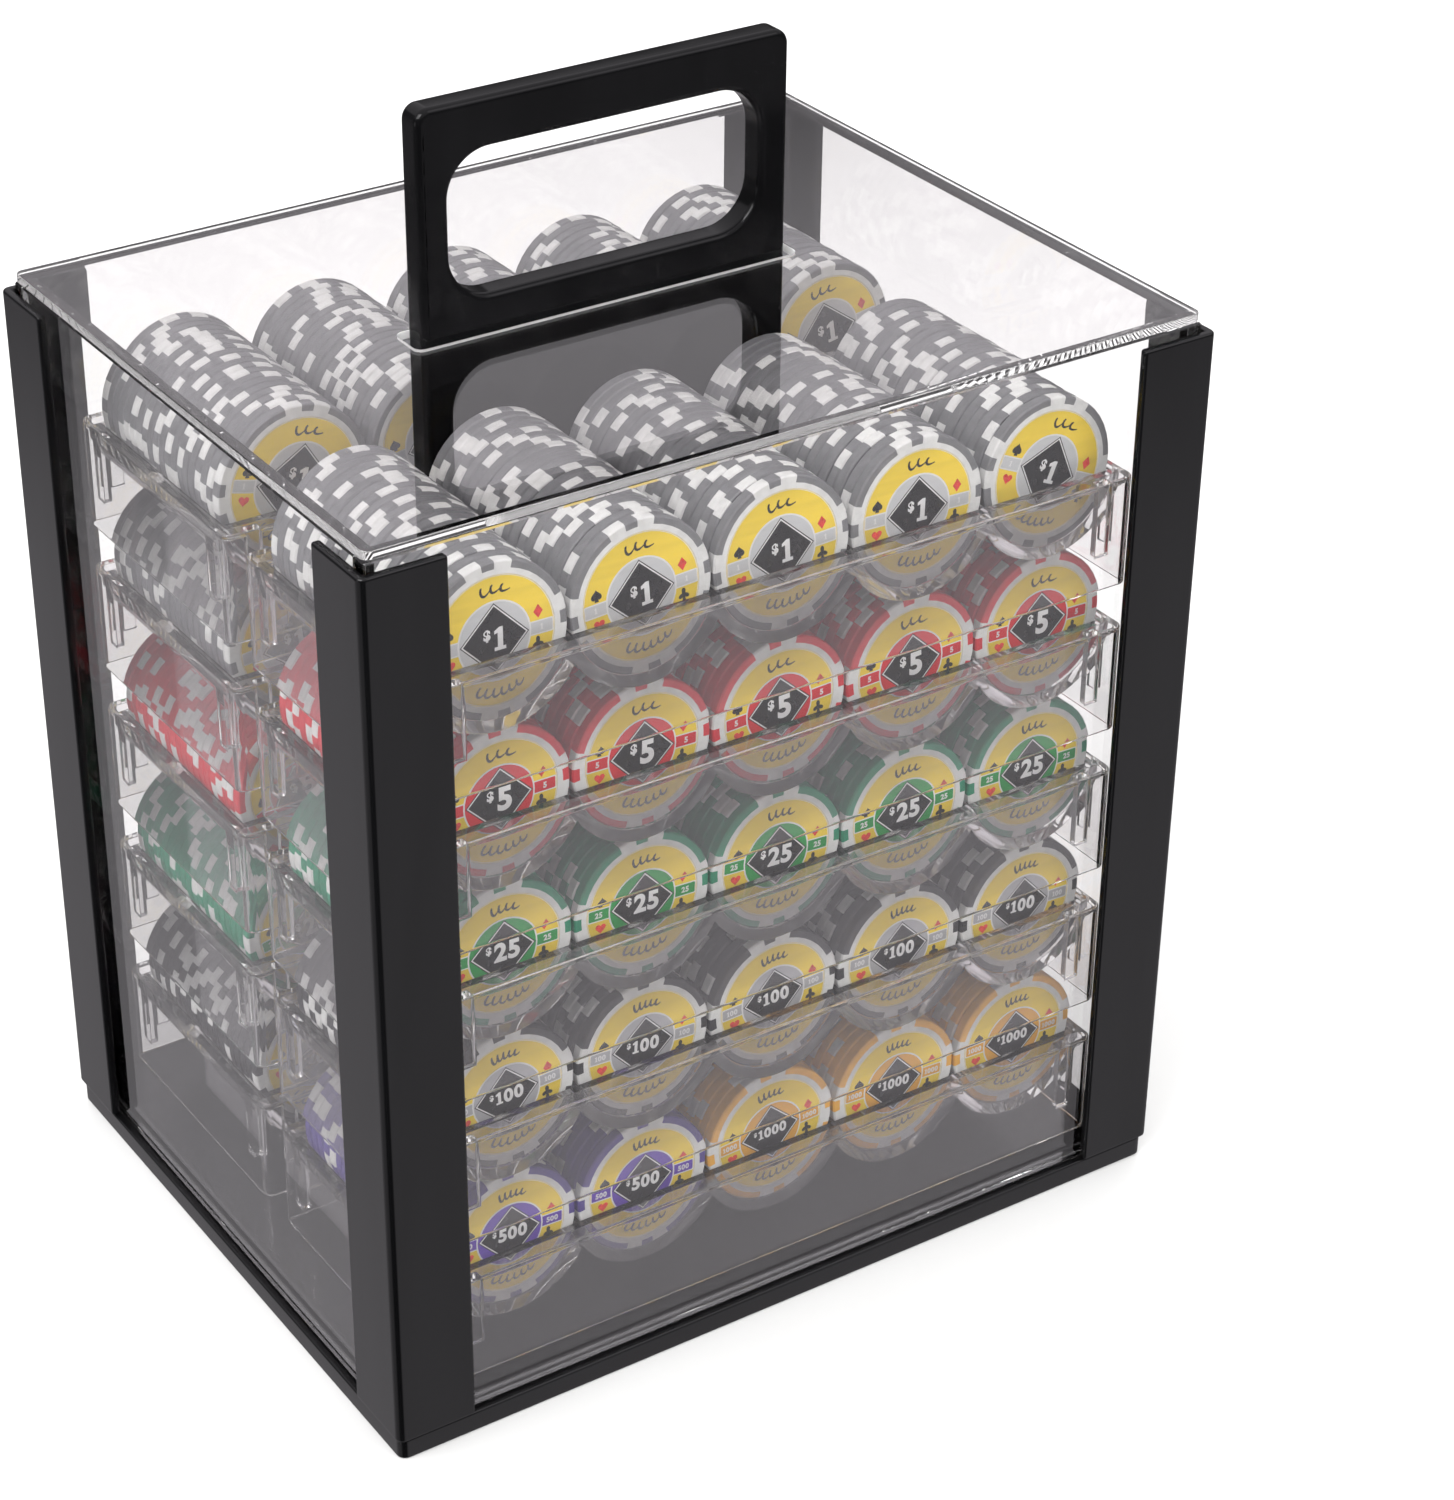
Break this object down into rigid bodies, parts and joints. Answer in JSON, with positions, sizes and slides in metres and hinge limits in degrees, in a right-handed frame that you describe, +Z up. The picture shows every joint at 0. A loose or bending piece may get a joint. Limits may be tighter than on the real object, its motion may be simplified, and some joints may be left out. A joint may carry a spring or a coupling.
{
  "type": "poker chip case",
  "caption": "Clear carrying case for gaming chips: black base, corner posts and handle board, clear walls and lid, stacked clear racks holding rows of chips on edge.",
  "frame": {"origin": "centre of the base's underside", "axes": "+Z up, +X along the width and the handle, +Y from the front face towards the back"},
  "size_m": [0.2428, 0.1888, 0.318],
  "materials": {
    "black_plastic": "glossy black moulded plastic",
    "clear_acrylic": "clear polished acrylic sheet",
    "rack_clear": "clear moulded plastic",
    "screw_steel": "plain steel",
    "chips_purple": "satin, white with purple edge inserts",
    "chips_yellow": "satin, white with yellow edge inserts",
    "chips_black": "satin, white with black edge inserts",
    "chips_green": "satin, white with green edge inserts",
    "chips_red": "satin, white with red edge inserts",
    "chips_grey": "satin, white with grey edge inserts"
  },
  "bodies": {
    "case": {"base_plate": "black_plastic", "wall_front": "clear_acrylic", "wall_back": "clear_acrylic", "wall_left": "clear_acrylic", "wall_right": "clear_acrylic", "post_front_left": "black_plastic", "post_front_right": "black_plastic", "post_back_left": "black_plastic", "post_back_right": "black_plastic", "handle_board": "black_plastic", "handle_screw_1": "screw_steel", "handle_screw_2": "screw_steel", "handle_screw_3": "screw_steel"},
    "front_1": {"rack_front_1": "rack_clear", "chips_front_1_1": "chips_purple", "chips_front_1_2": "chips_purple", "chips_front_1_3": "chips_yellow", "chips_front_1_4": "chips_yellow", "chips_front_1_5": "chips_yellow"},
    "front_2": {"rack_front_2": "rack_clear", "chips_front_2_1": "chips_black", "chips_front_2_2": "chips_black", "chips_front_2_3": "chips_black", "chips_front_2_4": "chips_black", "chips_front_2_5": "chips_black"},
    "front_3": {"rack_front_3": "rack_clear", "chips_front_3_1": "chips_green", "chips_front_3_2": "chips_green", "chips_front_3_3": "chips_green", "chips_front_3_4": "chips_green", "chips_front_3_5": "chips_green"},
    "front_4": {"rack_front_4": "rack_clear", "chips_front_4_1": "chips_red", "chips_front_4_2": "chips_red", "chips_front_4_3": "chips_red", "chips_front_4_4": "chips_red", "chips_front_4_5": "chips_red"},
    "front_5": {"rack_front_5": "rack_clear", "chips_front_5_1": "chips_grey", "chips_front_5_2": "chips_grey", "chips_front_5_3": "chips_grey", "chips_front_5_4": "chips_grey", "chips_front_5_5": "chips_grey"},
    "lid": {"lid": "clear_acrylic"},
    "rear_1": {"rack_rear_1": "rack_clear", "chips_rear_1": "chips_black"},
    "rear_2": {"rack_rear_2": "rack_clear", "chips_rear_2": "chips_green"},
    "rear_3": {"rack_rear_3": "rack_clear", "chips_rear_3": "chips_red"},
    "rear_4": {"rack_rear_4": "rack_clear", "chips_rear_4": "chips_grey"},
    "rear_5": {"rack_rear_5": "rack_clear", "chips_rear_5": "chips_grey"}
  },
  "joints": [
    {"name": "front_1_lift", "type": "slide", "parent": "case", "child": "front_1", "axis": [0, 0, 1], "range_m": [0, 0.245]},
    {"name": "front_2_lift", "type": "slide", "parent": "front_1", "child": "front_2", "axis": [0, 0, 1], "range_m": [0, 0.05]},
    {"name": "front_3_lift", "type": "slide", "parent": "front_2", "child": "front_3", "axis": [0, 0, 1], "range_m": [0, 0.05]},
    {"name": "front_4_lift", "type": "slide", "parent": "front_3", "child": "front_4", "axis": [0, 0, 1], "range_m": [0, 0.05]},
    {"name": "front_5_lift", "type": "slide", "parent": "front_4", "child": "front_5", "axis": [0, 0, 1], "range_m": [0, 0.05]},
    {"name": "lid_lift", "type": "slide", "parent": "front_5", "child": "lid", "axis": [0, 0, 1], "range_m": [0, 0.12]},
    {"name": "rear_1_lift", "type": "slide", "parent": "case", "child": "rear_1", "axis": [0, 0, 1], "range_m": [0, 0.245]},
    {"name": "rear_2_lift", "type": "slide", "parent": "rear_1", "child": "rear_2", "axis": [0, 0, 1], "range_m": [0, 0.05]},
    {"name": "rear_3_lift", "type": "slide", "parent": "rear_2", "child": "rear_3", "axis": [0, 0, 1], "range_m": [0, 0.05]},
    {"name": "rear_4_lift", "type": "slide", "parent": "rear_3", "child": "rear_4", "axis": [0, 0, 1], "range_m": [0, 0.05]},
    {"name": "rear_5_lift", "type": "slide", "parent": "rear_4", "child": "rear_5", "axis": [0, 0, 1], "range_m": [0, 0.05]}
  ],
  "couplings": [
    {"joint": "rear_1_lift", "follows": "front_1_lift", "ratio": 1},
    {"joint": "rear_2_lift", "follows": "front_2_lift", "ratio": 1},
    {"joint": "rear_3_lift", "follows": "front_3_lift", "ratio": 1},
    {"joint": "rear_4_lift", "follows": "front_4_lift", "ratio": 1},
    {"joint": "rear_5_lift", "follows": "front_5_lift", "ratio": 1}
  ]
}
